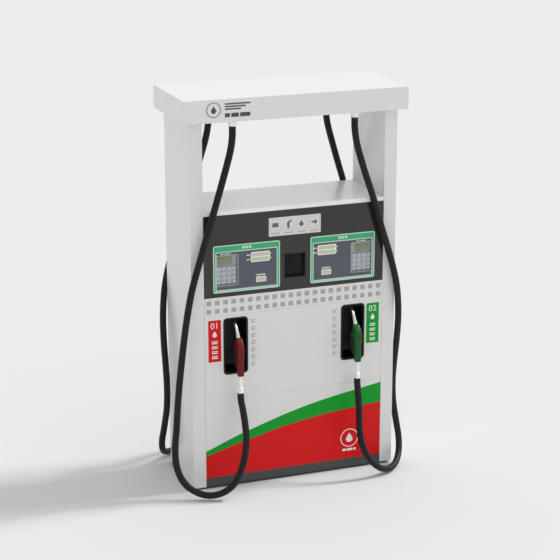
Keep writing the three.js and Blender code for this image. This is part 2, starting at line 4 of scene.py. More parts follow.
import bmesh
import bpy
from bpy.props import FloatProperty, FloatVectorProperty, IntProperty, PointerProperty
from bpy.types import Operator, Panel, PropertyGroup
from mathutils import Matrix, Vector

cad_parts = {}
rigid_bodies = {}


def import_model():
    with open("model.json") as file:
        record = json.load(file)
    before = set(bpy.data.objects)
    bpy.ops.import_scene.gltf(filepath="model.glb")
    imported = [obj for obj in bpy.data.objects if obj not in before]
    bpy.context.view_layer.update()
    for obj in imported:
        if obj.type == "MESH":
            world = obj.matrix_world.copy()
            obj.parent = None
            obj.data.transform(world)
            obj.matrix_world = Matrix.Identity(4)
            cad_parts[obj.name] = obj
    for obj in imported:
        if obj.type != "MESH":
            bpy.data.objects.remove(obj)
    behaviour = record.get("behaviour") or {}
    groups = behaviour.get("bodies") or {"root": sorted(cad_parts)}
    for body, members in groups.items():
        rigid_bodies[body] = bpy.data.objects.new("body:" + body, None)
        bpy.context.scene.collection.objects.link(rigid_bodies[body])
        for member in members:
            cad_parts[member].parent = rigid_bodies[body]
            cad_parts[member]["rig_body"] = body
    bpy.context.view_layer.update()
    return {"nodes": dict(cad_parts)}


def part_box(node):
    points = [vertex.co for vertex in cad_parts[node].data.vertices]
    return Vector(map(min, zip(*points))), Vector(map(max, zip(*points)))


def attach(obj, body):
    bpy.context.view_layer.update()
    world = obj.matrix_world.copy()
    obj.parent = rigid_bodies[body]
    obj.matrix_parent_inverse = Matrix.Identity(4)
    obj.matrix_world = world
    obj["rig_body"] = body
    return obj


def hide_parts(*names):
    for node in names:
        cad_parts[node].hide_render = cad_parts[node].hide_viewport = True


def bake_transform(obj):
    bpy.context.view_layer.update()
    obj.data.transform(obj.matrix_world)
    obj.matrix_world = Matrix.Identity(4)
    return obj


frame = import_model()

bl_info = {
    "name": "Fuel dispenser",
    "version": (1, 0, 0),
    "blender": (4, 5, 0),
    "location": "3D View > Sidebar > Dispenser",
    "description": "Builds the finished surfaces of a four-hose fuel dispenser on its packed frame",
    "category": "Object",
}

MM = 1000  # millimetres in a metre

SIDES = {"front": Matrix.Identity(4), "rear": Matrix.Rotation(math.pi, 4, "Z")}
HANDS = {"left": -1, "right": 1}


def span(node):
    """A front node's x span, out span (in front of the centre plane) and z span, in millimetres."""
    low, high = (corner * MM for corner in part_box(node))
    return (low.x, high.x), (-high.y, -low.y), (low.z, high.z)


def middle(pair):
    return (pair[0] + pair[1]) / 2


def about(centre, half):
    return centre - half, centre + half


FACE = span("front_middle_panel")[1][1]


# ---- Colours and finishes ----
def linear(code):
    """An sRGB hex code as linear red, green and blue."""
    levels = [int(code[i:i + 2], 16) / 255 for i in (0, 2, 4)]
    return tuple(c / 12.92 if c <= 0.04045 else ((c + 0.055) / 1.055) ** 2.4 for c in levels)


def colour_setting(name, description, code):
    return FloatVectorProperty(
        name=name, description=description, subtype="COLOR", size=3, min=0, max=1, default=linear(code))


class DispenserColours(PropertyGroup):
    body: colour_setting("Body", "Powder coat of the casing", "e7e7e5")
    graphite: colour_setting("Display panel", "Gloss film round the displays", "2d2b29")
    plinth: colour_setting("Plinth", "Paint of the plinth", "454543")
    red: colour_setting("Red film", "Lower band and left grade label", "de1215")
    green: colour_setting("Green film", "Upper band and right grade label", "0e9f2c")
    bezel: colour_setting("Display frame", "Green overlay of the display units", "41b276")
    outline: colour_setting("Display outline", "Pale lines round the overlay", "cdeadb")
    field: colour_setting("Display field", "Slate field of the overlay", "5a5e67")
    lcd: colour_setting("Screens", "Reflective liquid crystal", "c6ccb2")
    key: colour_setting("Keys", "Metal keys", "c6cbd1")
    louvre: colour_setting("Vent inserts", "Grey louvre inserts", "b4b3b1")
    left_sleeve: colour_setting("Left sleeve", "Vinyl sleeve of the left nozzle", "6e181a")
    right_sleeve: colour_setting("Right sleeve", "Vinyl sleeve of the right nozzle", "1e5a2c")
    rubber: colour_setting("Hose", "Hose rubber", "121212")


class DispenserSizes(PropertyGroup):
    edge: FloatProperty(
        name="Sheet edge", description="Rounding of folded sheet edges, in mm", default=1.2, min=0.2, max=3)
    hose: FloatProperty(
        name="Hose diameter", description="Outside diameter of the hoses", default=0.038, unit="LENGTH")
    hose_rings: IntProperty(
        name="Hose steps", description="Rings along each hose", default=190, min=80, max=400)
    film: FloatProperty(
        name="Film", description="Thickness of the printed films, in mm", default=0.35, min=0.1, max=1)


def colours():
    return bpy.context.scene.dispenser_colours


def sizes():
    return bpy.context.scene.dispenser_sizes


def node(tree, kind, inputs=None, **settings):
    made = tree.nodes.new("ShaderNode" + kind)
    for key, value in settings.items():
        setattr(made, key, value)
    for key, value in (inputs or {}).items():
        if isinstance(value, bpy.types.NodeSocket):
            tree.links.new(value, made.inputs[key])
        else:
            made.inputs[key].default_value = value
    return made


def finish(name, colour, roughness, metallic=0.0, tone=0.03, tone_mm=240, spread=0.05, spread_mm=35,
           grain_mm=1.0, relief_mm=0.02, stretch=(1, 1, 1), skin=False, coat=0.0, coat_roughness=0.08,
           specular=0.5, ribs_mm=0):
    """A surface whose tone, gloss and relief vary at sizes given in millimetres."""
    if name in bpy.data.materials:
        return bpy.data.materials[name]
    material = bpy.data.materials.new(name)
    material.use_nodes = True
    tree = material.node_tree
    shader = tree.nodes["Principled BSDF"]
    shader.inputs["Metallic"].default_value = metallic
    shader.inputs["Coat Weight"].default_value = coat
    shader.inputs["Coat Roughness"].default_value = coat_roughness
    shader.inputs["Specular IOR Level"].default_value = specular
    if skin:
        place = node(tree, "Attribute", attribute_name="skin").outputs["Vector"]
    else:
        place = node(tree, "TexCoord").outputs["Object"]
    place = node(tree, "Mapping", {"Vector": place, "Scale": stretch}).outputs["Vector"]

    def noise(size_mm, detail):
        inputs = {"Vector": place, "Scale": MM / size_mm, "Detail": detail, "Roughness": 0.55}
        return node(tree, "TexNoise", inputs).outputs["Fac"]

    shades = [tuple(min(1.0, c * k) for c in colour) + (1.0,) for k in (1 - tone, 1 + tone)]
    mix = node(tree, "Mix", {0: noise(tone_mm, 3), 6: shades[0], 7: shades[1]}, data_type="RGBA")
    tree.links.new(mix.outputs[2], shader.inputs["Base Color"])
    low, high = max(0.02, roughness - spread), min(1.0, roughness + spread)
    gloss = node(tree, "MapRange", {"Value": noise(spread_mm, 4), "From Min": 0.3, "From Max": 0.7,
                                    "To Min": low, "To Max": high})
    tree.links.new(gloss.outputs["Result"], shader.inputs["Roughness"])
    height = noise(grain_mm, 2)
    if ribs_mm:
        # The wave texture turns through 20 radians for each unit of its scale.
        inputs = {"Vector": place, "Scale": MM / ribs_mm * 2 * math.pi / 20, "Distortion": 0.0}
        wave = node(tree, "TexWave", inputs, wave_type="BANDS", bands_direction="Z").outputs["Fac"]
        height = node(tree, "Math", {0: height, 1: wave}, operation="ADD").outputs[0]
    bump = node(tree, "Bump", {"Strength": 0.6, "Distance": relief_mm / MM, "Height": height})
    tree.links.new(bump.outputs["Normal"], shader.inputs["Normal"])
    return material


def body_coat():
    # Powder coat: faint orange peel under a sheen. Its grain, about 0.5 mm, is drawn at 1.4 mm to show.
    return finish("white powder coat", colours().body, 0.42, tone=0.012, grain_mm=1.4, relief_mm=0.02,
                  coat=0.7, coat_roughness=0.2)


def lightened_shelf_coat():
    # Baked enamel: smooth and bright, with broad soft reflections. Its white is brighter than the casing's:
    # painted light that lifts the cabinet top out of the header's shade.
    return finish("gloss white shelf enamel", linear("f8f9fb"), 0.26, tone=0.01, spread=0.015, grain_mm=1.4,
                  relief_mm=0.002, coat=1.0, coat_roughness=0.3)


def graphite_film():
    # Gloss film: dark, with clear reflections that waver slightly.
    return finish("graphite gloss film", colours().graphite, 0.13, tone=0.05, spread=0.03, grain_mm=3,
                  relief_mm=0.004)


def plinth_paint():
    # Semi-gloss paint: dull highlights, uneven over centimetres.
    return finish("plinth paint", colours().plinth, 0.42, tone=0.08, tone_mm=90, grain_mm=1.5)


def foot_black():
    # Near black and matt, with hardly any highlight, on the base frame's lowest faces.
    return finish("foot frame paint", linear("0c0c0c"), 0.6, tone=0.2, tone_mm=60)


def moulded_black():
    # Moulded ABS: a fine grain breaks up a weak highlight. Real grain, about 0.3 mm, is drawn at 0.8 mm.
    return finish("moulded black plastic", linear("0b0c0e"), 0.42, tone=0.12, tone_mm=50, grain_mm=0.8,
                  relief_mm=0.03, specular=0.3)


def vinyl_film(hue):
    # Calendered vinyl: one even colour with a soft sheen.
    return finish(f"{hue} vinyl film", getattr(colours(), hue), 0.4, tone=0.02, specular=0.2, grain_mm=2,
                  relief_mm=0.01)


def bezel_print():
    # Printed polycarbonate overlay: flat colour, satin.
    return finish("green overlay", colours().bezel, 0.35, tone=0.02, specular=0.35, relief_mm=0.01)


def outline_print():
    # A pale line of the same overlay.
    return finish("pale overlay line", colours().outline, 0.4, tone=0.02, relief_mm=0.01)


def field_print():
    # The slate part of the same overlay, a little mottled.
    return finish("slate overlay", colours().field, 0.34, tone=0.03, specular=0.35, relief_mm=0.015)


def white_print():
    # Screen ink: flat, matt white.
    return finish("white print", linear("f2f2ee"), 0.45, tone=0.015, relief_mm=0.01)


def grey_print_and_crease_shade():
    # Screen ink: flat, matt mid grey. The same grey also draws the painted shade of the middle panel's
    # crease.
    return finish("grey print", linear("b3b1b1"), 0.5, tone=0.03, relief_mm=0.01)


def dark_print():
    # Screen ink: flat, matt dark grey.
    return finish("dark grey print", linear("4a4a4c"), 0.5, tone=0.05, relief_mm=0.01)


def sign_print():
    # Screen ink: the darker grey of the pictograms.
    return finish("mid grey print", linear("67676a"), 0.5, tone=0.05, relief_mm=0.01)


def screen_glass():
    # Glass over a reflective crystal: pale, under a hard clear sheen.
    return finish("liquid crystal screen", colours().lcd, 0.2, tone=0.04, tone_mm=8, coat=0.6,
                  relief_mm=0.004)


def moulded_white():
    # Moulded ABS: bright, with a soft highlight.
    return finish("moulded white plastic", linear("f8f8f5"), 0.32, tone=0.015, grain_mm=1.2, relief_mm=0.015)


def hose_rubber():
    # Wrapped nitrile rubber: dull black, ringed by wrap marks. They are finer than the 6.4 mm drawn.
    return finish("hose rubber", colours().rubber, 0.5, tone=0.14, tone_mm=70, spread=0.08, spread_mm=24,
                  grain_mm=1.2, relief_mm=0.06, skin=True, specular=0.3, ribs_mm=6.4)


def belt_rubber():
    # Neoprene: matt black.
    return finish("belt rubber", linear("1a1a1a"), 0.7, tone=0.15, grain_mm=0.8, relief_mm=0.05)


def polished_metal():
    # Polished tube: bright, with highlights drawn out along it. Polish lines are coarser than real.
    return finish("polished aluminium", linear("e9e9ea"), 0.2, metallic=0.95, tone=0.02, spread=0.06,
                  spread_mm=6, stretch=(1, 1, 6), grain_mm=1.5, relief_mm=0.006)


def brushed_keys():
    # Brushed zinc: a broad, soft highlight. The brushing is coarser than real, to show.
    return finish("brushed key metal", colours().key, 0.36, metallic=0.55, tone=0.05, tone_mm=12,
                  spread_mm=5, stretch=(1, 1, 14), grain_mm=1.5, relief_mm=0.01)


def keypad_plate():
    # Satin steel: grey and faintly streaked. The streaks are coarser than real.
    return finish("satin keypad plate", linear("a9aeb3"), 0.4, metallic=0.4, tone=0.06, tone_mm=25,
                  spread_mm=6, stretch=(1, 1, 10), grain_mm=1.5, relief_mm=0.01)


def entry_glass():
    # Olive liquid crystal under a clear window.
    return finish("olive entry screen", linear("858c68"), 0.22, tone=0.06, tone_mm=12, coat=0.4,
                  relief_mm=0.004)


def plated_steel():
    # Zinc plating: bright grey, patchy from the bath.
    return finish("zinc plated steel", linear("b8babd"), 0.34, metallic=1.0, tone=0.08, tone_mm=14,
                  spread=0.1, spread_mm=9, grain_mm=0.9)


def sand_casting():
    # Painted sand casting: a rough skin with a dull gloss. Its grain is drawn at 1.4 mm.
    return finish("painted sand casting", linear("7a8187"), 0.6, metallic=0.2, tone=0.14, tone_mm=40,
                  grain_mm=1.4, relief_mm=0.25)


def motor_enamel():
    # Enamel over a cast frame: blue, with slight orange peel.
    return finish("motor enamel", linear("39506b"), 0.42, tone=0.1, tone_mm=60, grain_mm=1.6, relief_mm=0.12)


def louvre_plastic():
    # Moulded plastic: matt grey.
    return finish("louvre plastic", colours().louvre, 0.5, tone=0.03, tone_mm=30, grain_mm=0.8)


def sleeve_vinyl(hand):
    # Dipped vinyl: deep colour, a soft highlight and a faint skin.
    colour = colours().left_sleeve if hand == "left" else colours().right_sleeve
    return finish(f"{hand} vinyl sleeve", colour, 0.38, tone=0.07, tone_mm=35, spread_mm=12, grain_mm=0.9,
                  relief_mm=0.06, specular=0.22)


def lever_coat(hand):
    # Dipped coating on steel: dark, with a dull glint.
    colour = linear("2c0b0c" if hand == "left" else "0a2413")
    return finish(f"{hand} lever coating", colour, 0.4, metallic=0.3, tone=0.1, tone_mm=12, grain_mm=0.8)


def sign_enamel():
    # Enamelled plate: pale grey, satin.
    return finish("sign plate enamel", linear("e2e1df"), 0.4, tone=0.02, relief_mm=0.01)


def window_black():
    # Tinted plastic: nearly black, with a weak reflection.
    return finish("tinted window", linear("0c0c0d"), 0.3, tone=0.1, specular=0.2, relief_mm=0.002)


# ---- Shaping helpers: millimetres, x to the right, out towards the user, z up ----
def at(x, out, z):
    return Vector((x, -out, z))


def soften(bm, edges, width, segments=2):
    bmesh.ops.bevel(bm, geom=list(edges), offset=width, offset_type="OFFSET", affect="EDGES",
                    segments=segments, profile=0.5, material=-1, clamp_overlap=True)


def slab(bm, x, out, z, corner=0.0, edge=0.0, segments=2):
    """A plate filling three spans; corner rounds its outline and edge rounds its rims."""
    old = set(bm.verts)
    made = bmesh.ops.create_cube(bm, size=1.0)["verts"]
    bmesh.ops.scale(bm, vec=(x[1] - x[0], out[1] - out[0], z[1] - z[0]), verts=made)
    bmesh.ops.translate(bm, vec=at(middle(x), middle(out), middle(z)), verts=made)
    edges = {e for v in made for e in v.link_edges}
    if corner:
        soften(bm, [e for e in edges if abs(e.verts[0].co.y - e.verts[1].co.y) > 1e-6], corner, 6)
    if edge:
        new = [v for v in bm.verts if v not in old]
        rims = {e for v in new for e in v.link_edges if abs(e.verts[0].co.y - e.verts[1].co.y) < 1e-6}
        soften(bm, [e for e in rims if corner == 0 or e.calc_face_angle(0) > 1.0], edge, segments)


def thicken(bm, faces, out):
    """Raises flat faces into a closed plate between two depths."""
    for v in {v for f in faces for v in f.verts}:
        v.co.y = -out[0]
    raised = bmesh.ops.extrude_face_region(bm, geom=list(faces))["geom"]
    verts = [g for g in raised if isinstance(g, bmesh.types.BMVert)]
    bmesh.ops.translate(bm, vec=(0, out[0] - out[1], 0), verts=verts)


def plate(bm, corners, out):
    thicken(bm, [bm.faces.new([bm.verts.new(at(x, 0, z)) for x, z in corners])], out)


def ring(bm, x, z, out, corner, band):
    """A band that follows the inside of a rounded rectangle."""
    old = set(bm.faces)
    spots = (x[0], z[0]), (x[1], z[0]), (x[1], z[1]), (x[0], z[1])
    corners = [bm.verts.new(at(px, 0, pz)) for px, pz in spots]
    bm.faces.new(corners)
    bmesh.ops.bevel(bm, geom=corners, offset=corner, offset_type="OFFSET", affect="VERTICES", segments=6,
                    profile=0.5, material=-1)
    face = next(f for f in bm.faces if f not in old)
    band_faces = bmesh.ops.inset_region(
        bm, faces=[face], thickness=band, use_even_offset=True, use_boundary=True)["faces"]
    bmesh.ops.delete(bm, geom=[face], context="FACES_ONLY")
    thicken(bm, band_faces, out)


def disc(bm, x, z, radius, out, steps=40, hole=0.0):
    made = bmesh.ops.create_circle(bm, cap_ends=True, radius=radius, segments=steps)["verts"]
    for v in made:
        v.co = Vector((v.co.x + x, 0, v.co.y + z))
    face = made[0].link_faces[0]
    face.normal_update()
    if not hole:
        thicken(bm, [face], out)
        return
    band = bmesh.ops.inset_region(
        bm, faces=[face], thickness=radius - hole, use_even_offset=True, use_boundary=True)["faces"]
    bmesh.ops.delete(bm, geom=[face], context="FACES_ONLY")
    thicken(bm, band, out)


def droplet(bm, x, z, radius, out):
    made = bmesh.ops.create_circle(bm, cap_ends=True, radius=radius, segments=32)["verts"]
    for v in made:
        rise = max(0.0, v.co.y / radius)
        v.co = Vector((x + v.co.x * (1 - rise ** 1.4) ** 0.5 if rise else x + v.co.x, 0,
                       z + v.co.y * (1 + 0.75 * rise)))
    thicken(bm, [made[0].link_faces[0]], out)


def bars(bm, x, z, out, rows, gap):
    """A stack of plain bars that fills a rectangle; each row is the list of its pieces' shares."""
    pitch = (z[1] - z[0]) / len(rows)
    for i, row in enumerate(rows):
        top = z[1] - i * pitch
        start = x[0]
        for share, drawn in row:
            end = start + share * (x[1] - x[0])
            if drawn:
                low = top - pitch + gap
                plate(bm, [(start, low), (end, low), (end, top), (start, top)], out)
            start = end


def curve_through(points, steps):
    """A smooth line through the points, in equal strides."""
    points = [Vector(p) for p in points]
    dense = []
    for a, b, c, d in zip([2 * points[0] - points[1], *points], points, points[1:],
                          [*points[2:], 2 * points[-1] - points[-2]]):
        knots = [0.0]
        for p, q in ((a, b), (b, c), (c, d)):
            knots.append(knots[-1] + (q - p).length ** 0.5)

        def between(p, q, i, j, t):
            return p.lerp(q, (t - knots[i]) / (knots[j] - knots[i]))

        for k in range(24):
            t = knots[1] + (knots[2] - knots[1]) * k / 24
            mid = between(b, c, 1, 2, t)
            near = between(between(a, b, 0, 1, t), mid, 0, 2, t)
            far = between(mid, between(c, d, 2, 3, t), 1, 3, t)
            dense.append(between(near, far, 1, 2, t))
    dense.append(points[-1])
    run = [0.0]
    for a, b in zip(dense, dense[1:]):
        run.append(run[-1] + (b - a).length)
    line, k = [], 0
    for i in range(steps + 1):
        want = run[-1] * i / steps
        while k < len(run) - 2 and run[k + 1] < want:
            k += 1
        line.append(dense[k].lerp(dense[k + 1], (want - run[k]) / max(1e-9, run[k + 1] - run[k])))
    return line


def sweep(bm, path, halves, sides=16, side=(1, 0, 0), skin=False):
    """Carries an oval along a path; halves are its half width and half thickness at each point."""
    layer = bm.verts.layers.float_vector.new("skin") if skin else None
    loop = bmesh.ops.create_circle(bm, cap_ends=True, radius=1.0, segments=sides)["verts"]
    unit = [(v.co.x, v.co.y) for v in loop]
    side, run = Vector(side), 0.0
    for i, point in enumerate(path):
        ahead = (path[min(i + 1, len(path) - 1)] - path[max(i - 1, 0)]).normalized()
        side = (side - ahead * side.dot(ahead)).normalized()
        over = ahead.cross(side)
        if i:
            run += (point - path[i - 1]).length
            rim = [bm.edges.get((loop[k - 1], loop[k])) for k in range(sides)]
            fresh = bmesh.ops.extrude_edge_only(bm, edges=rim)["geom"]
            fresh = {g for g in fresh if isinstance(g, bmesh.types.BMVert)}
            loop = [next(e.other_vert(v) for e in v.link_edges if e.other_vert(v) in fresh) for v in loop]
        for v, (c, s) in zip(loop, unit):
            v.co = point + side * (c * halves[i][0]) + over * (s * halves[i][1])
            if skin:
                v[layer] = (c * halves[i][0] / MM, s * halves[i][1] / MM, run / MM)
    bmesh.ops.edgeloop_fill(bm, edges=[bm.edges.get((loop[k - 1], loop[k])) for k in range(sides)])


def turn_profile(bm, profile, base, axis=(0, 0, 1), steps=48):
    """Spins (radius, height) points about an axis that starts at base."""
    old = set(bm.verts)
    line = [bm.verts.new((r, 0, h)) for r, h in profile]
    edges = [bm.edges.new(pair) for pair in zip(line, line[1:])]
    bmesh.ops.spin(bm, geom=line + edges, cent=(0, 0, 0), axis=(0, 0, 1), angle=2 * math.pi, steps=steps,
                   use_merge=True, use_duplicate=False)
    new = [v for v in bm.verts if v not in old]
    turn = Vector((0, 0, 1)).rotation_difference(Vector(axis)).to_matrix().to_4x4()
    bmesh.ops.transform(bm, matrix=Matrix.Translation(base) @ turn, verts=new)
    bmesh.ops.remove_doubles(bm, verts=new, dist=0.001)


def digits(bm, text, height, x, z, out):
    """Plain figures centred on a point of the face."""
    curve = bpy.data.curves.new("figures", "FONT")
    curve.body, curve.size, curve.align_x, curve.align_y = text, height * 1.38, "CENTER", "CENTER"
    curve.resolution_u = 3
    holder = bpy.data.objects.new("figures", curve)
    flat = bpy.data.meshes.new_from_object(holder)
    old = set(bm.faces)
    bm.from_mesh(flat)
    faces = [f for f in bm.faces if f not in old]
    verts = {v for f in faces for v in f.verts}
    for v in verts:
        v.co = Vector((v.co.x + x, 0, v.co.y + z))
    bmesh.ops.remove_doubles(bm, verts=list(verts), dist=0.001)
    thicken(bm, [f for f in bm.faces if f not in old], out)
    bpy.data.objects.remove(holder)
    bpy.data.curves.remove(curve)
    bpy.data.meshes.remove(flat)


def make(name, bm, material, body="root", side="front", stands_for=(), ride=True, sharp=35):
    """Turns a shape in millimetres into a finished piece on its body."""
    bmesh.ops.recalc_face_normals(bm, faces=bm.faces)
    bm.transform(SIDES[side] @ Matrix.Scale(1 / MM, 4))
    mesh = bpy.data.meshes.new(name)
    bm.to_mesh(mesh)
    bm.free()
    for face in mesh.polygons:
        face.use_smooth = True
    mesh.set_sharp_from_angle(angle=math.radians(sharp))
    mesh.materials.append(material)
    obj = bpy.data.objects.new(name, mesh)
    bpy.context.scene.collection.objects.link(obj)
    if ride:
        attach(obj, body)
    if stands_for:
        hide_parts(*stands_for)
    return obj


def rounded_copy(name, material, width, segments=2):
    """A packed piece's shape with its folded edges rounded."""
    source = frame["nodes"][name]
    bm = bmesh.new()
    bm.from_mesh(source.data)
    bmesh.ops.scale(bm, vec=(MM, MM, MM), verts=bm.verts)
    bmesh.ops.remove_doubles(bm, verts=bm.verts, dist=0.01)
    bmesh.ops.dissolve_limit(bm, angle_limit=math.radians(1), verts=bm.verts, edges=bm.edges)
    soften(bm, [e for e in bm.edges if e.calc_face_angle(0) > math.radians(40)], width, segments)
    obj = make(name + "_shell", bm, material, source["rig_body"], stands_for=[name])
    for face in obj.data.polygons:
        if face.area > LARGE_FACE:
            face.use_smooth = False
    return obj


def pairs():
    for side in SIDES:
        for hand in HANDS:
            yield side, hand, f"{side}_{hand}"


def build(idname, label, doc):
    """Names an operator and gives it its execute."""
    def wrap(make_pieces):
        def execute(self, context):
            make_pieces()
            return {"FINISHED"}
        kind = type("DISPENSER_OT_" + idname, (Operator,), {
            "__doc__": doc, "bl_idname": "dispenser." + idname, "bl_label": label, "execute": execute})
        STEPS.append(kind)
        return kind
    return wrap


STEPS = []


# ---- Camera and hoses ----
LENS_MM, SENSOR_MM = 109.69, 36
CAMERA_AZIMUTH, CAMERA_HEIGHT = -20.599, 16.542  # degrees from the front, and above level
CAMERA_AT = (-3.30488521, -8.78093364, 3.91119789)
FAR_CLIP = 200  # metres


@build("camera", "Camera", "Places the camera")
def camera():
    data = bpy.data.cameras.new("camera")
    data.lens, data.sensor_width, data.clip_end = LENS_MM, SENSOR_MM, FAR_CLIP
    obj = bpy.data.objects.new("camera", data)
    bpy.context.scene.collection.objects.link(obj)
    a, e = math.radians(CAMERA_AZIMUTH), math.radians(CAMERA_HEIGHT)
    back = Vector((math.sin(a) * math.cos(e), -math.cos(a) * math.cos(e), math.sin(e)))
    obj.location = CAMERA_AT
    obj.rotation_mode = "QUATERNION"
    obj.rotation_quaternion = (-back).to_track_quat("-Z", "Y")
    bpy.context.scene.camera = obj


# Hose routes as (x, out, z) in metres, from the header fitting to the nozzle swivel.
ROUTES = {
    "left": [
        (-0.372, 0.250, 2.0964), (-0.372, 0.250, 2.0844), (-0.373, 0.250, 2.035), (-0.384, 0.252, 1.965),
        (-0.428, 0.258, 1.815), (-0.497, 0.262, 1.594), (-0.568, 0.266, 1.371), (-0.620, 0.267, 1.195),
        (-0.656, 0.265, 1.000), (-0.686, 0.259, 0.760), (-0.705, 0.255, 0.570), (-0.717, 0.256, 0.410),
        (-0.730, 0.264, 0.280), (-0.727, 0.284, 0.180), (-0.697, 0.314, 0.098), (-0.642, 0.347, 0.050),
        (-0.577, 0.379, 0.030), (-0.508, 0.404, 0.042), (-0.446, 0.414, 0.080), (-0.398, 0.411, 0.150),
        (-0.365, 0.398, 0.240), (-0.349, 0.380, 0.330), (-0.346, 0.355, 0.415), (-0.350, 0.322, 0.505),
        (-0.353, 0.312, 0.532), (-0.354, 0.306, 0.558), (-0.354, 0.304, 0.5807), (-0.354, 0.304, 0.5867),
    ],
    "right": [
        (0.341, 0.250, 2.0964), (0.341, 0.250, 2.0844), (0.343, 0.250, 2.030), (0.356, 0.252, 1.945),
        (0.398, 0.256, 1.802), (0.453, 0.259, 1.641), (0.509, 0.262, 1.457), (0.570, 0.261, 1.269),
        (0.614, 0.254, 1.100), (0.637, 0.233, 0.930), (0.645, 0.203, 0.775), (0.645, 0.175, 0.630),
        (0.644, 0.159, 0.500), (0.648, 0.160, 0.370), (0.661, 0.175, 0.250), (0.668, 0.204, 0.150),
        (0.648, 0.254, 0.074), (0.600, 0.316, 0.033), (0.537, 0.367, 0.026), (0.471, 0.396, 0.048),
        (0.410, 0.407, 0.100), (0.366, 0.402, 0.170), (0.346, 0.391, 0.245), (0.342, 0.376, 0.320),
        (0.348, 0.355, 0.405), (0.352, 0.328, 0.487), (0.354, 0.314, 0.522), (0.354, 0.306, 0.556),
        (0.354, 0.304, 0.5807), (0.354, 0.304, 0.5867),
    ],
}


@build("hoses", "Hoses", "Makes the four delivery hoses")
def hoses():
    for side, hand, name in pairs():
        route = curve_through([at(*p) * MM for p in ROUTES[hand]], sizes().hose_rings)
        radius = sizes().hose * MM / 2
        bm = bmesh.new()
        sweep(bm, route, [(radius, radius)] * len(route), sides=20, side=(0, 1, 0), skin=True)
        obj = make(name + "_hose_tube", bm, hose_rubber(), side=side,
                   stands_for=[name + "_hose"], ride=False)
        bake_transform(obj)


# ---- Casing ----
LARGE_FACE = 1e-4  # square metres; a larger face is flat sheet, so it is shaded flat
THIN_EDGE = 0.45  # a panel's edge rounding, as a share of the casing's
FOOT_TOP = 0.0125  # metres; the base frame's faces below this are the foot's


@build("casing", "Casing", "Rounds the header, the columns, the cabinet top and the panels")
def casing():
    edge = sizes().edge
    for name in ("header_box", "left_column", "right_column"):
        rounded_copy(name, body_coat(), edge)
    # The cabinet top's brighter enamel is painted light in the header's shade.
    rounded_copy("cabinet_top", lightened_shelf_coat(), edge)
    for side in SIDES:
        rounded_copy(f"{side}_middle_panel", body_coat(), edge * THIN_EDGE)
        rounded_copy(f"{side}_lower_panel", body_coat(), edge * THIN_EDGE)
        rounded_copy(f"{side}_display_panel", graphite_film(), edge * THIN_EDGE)
    base = rounded_copy("base_frame", plinth_paint(), edge * THIN_EDGE)
    base.data.materials.append(foot_black())
    for face in base.data.polygons:
        if face.center.z < FOOT_TOP:
            face.material_index = 1


@build("vents", "Vents", "Fills the vent pockets with louvre inserts")
def vents():
    first, pitch, width, height = -509.25, 48.5, 27.0, 26.0
    rows, columns, slats, half_slat = (1054.0, 1102.5), 22, 5, 1.3
    back, bed, crest = FACE - 0.95, FACE - 0.55, FACE - 0.1
    for side in SIDES:
        bm = bmesh.new()
        for row in rows:
            for i in range(columns):
                x, low = first + i * pitch, row - height / 2
                slab(bm, about(x, width / 2), (back, bed), (low, low + height))
                for k in range(slats):
                    z = low + height * (k + 0.5) / slats
                    slab(bm, about(x, width / 2 - 1), (bed, crest), about(z, half_slat))
        make(f"{side}_vent_louvres", bm, louvre_plastic(), side=side)


# ---- Displays ----
FILM_GAP = 0.02  # how far a film's back stands off its face
SEAT = 0.05  # how far a print's back lies inside its face
POCKET_HALF, POCKET_BELOW, POCKET_ABOVE = 65.5, 3.5, 167.5  # the keypad pocket, from its keypad's foot
LINER_INSET = 0.6
KEY_HALF, KEY_FIGURE, MAT = 8.5, 8, 4  # half a key, a figure's height, the mat's thickness


def pocket_spans(keypad, inset=0.0):
    """The x and z spans of a keypad's pocket, drawn in by an inset."""
    x, _, z = keypad
    return about(middle(x), POCKET_HALF - inset), (z[0] - POCKET_BELOW + inset, z[0] + POCKET_ABOVE - inset)


